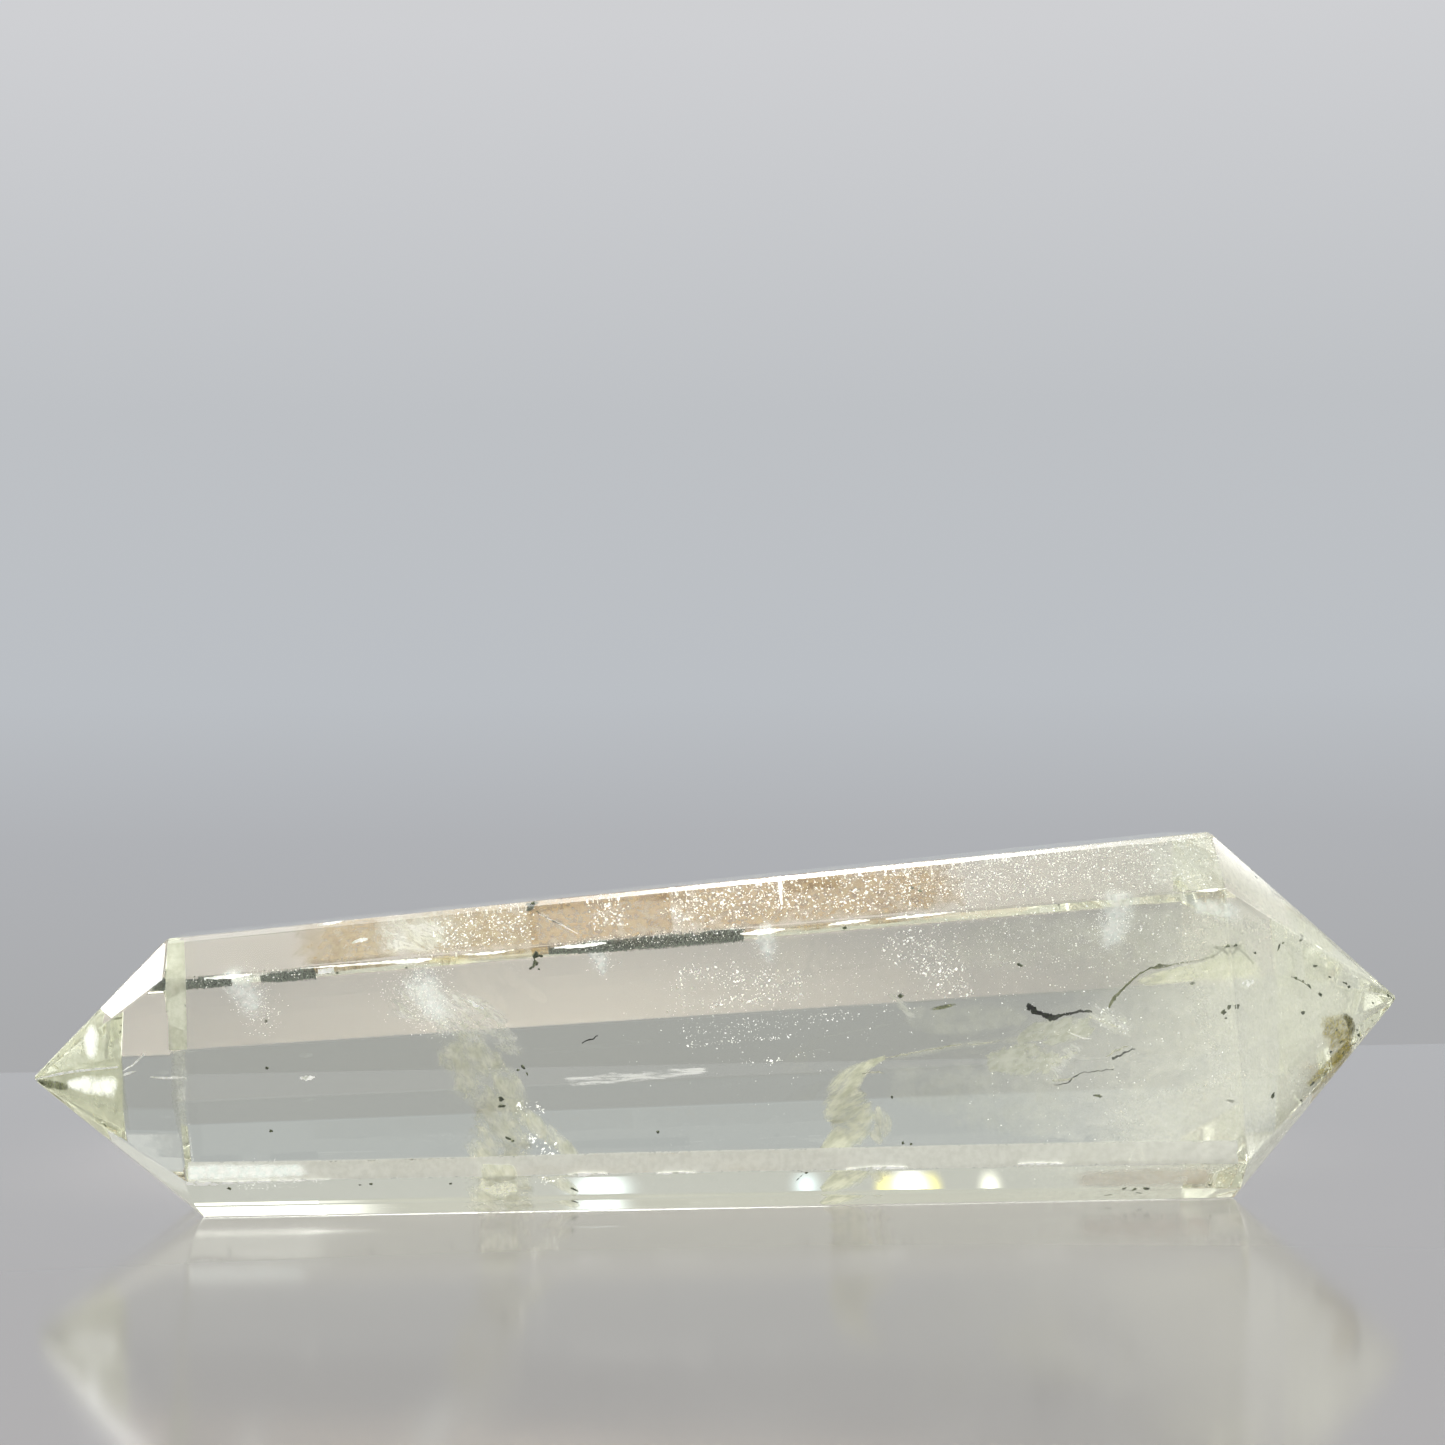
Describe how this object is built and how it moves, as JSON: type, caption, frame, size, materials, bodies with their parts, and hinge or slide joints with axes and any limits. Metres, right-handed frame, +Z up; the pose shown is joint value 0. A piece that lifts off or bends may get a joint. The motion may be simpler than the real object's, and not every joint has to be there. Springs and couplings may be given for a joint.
{
  "type": "vogel-cut quartz crystal",
  "caption": "Clear faceted quartz wand that widens from one end to the other, with a cut point at both ends; it lies on one of its long flat faces.",
  "frame": {"origin": "middle of the bounding box in X and Y, on the plane of the long face that the crystal lies on", "axes": "+X along the crystal from its narrow point to its wide point, +Y from the broad front face to the back, +Z up"},
  "size_m": [0.09, 0.0234, 0.0231],
  "materials": {
    "quartz": "polished, clear, with a faint lemon cast"
  },
  "bodies": {
    "root": {"quartz_crystal": "quartz"}
  },
  "joints": []
}
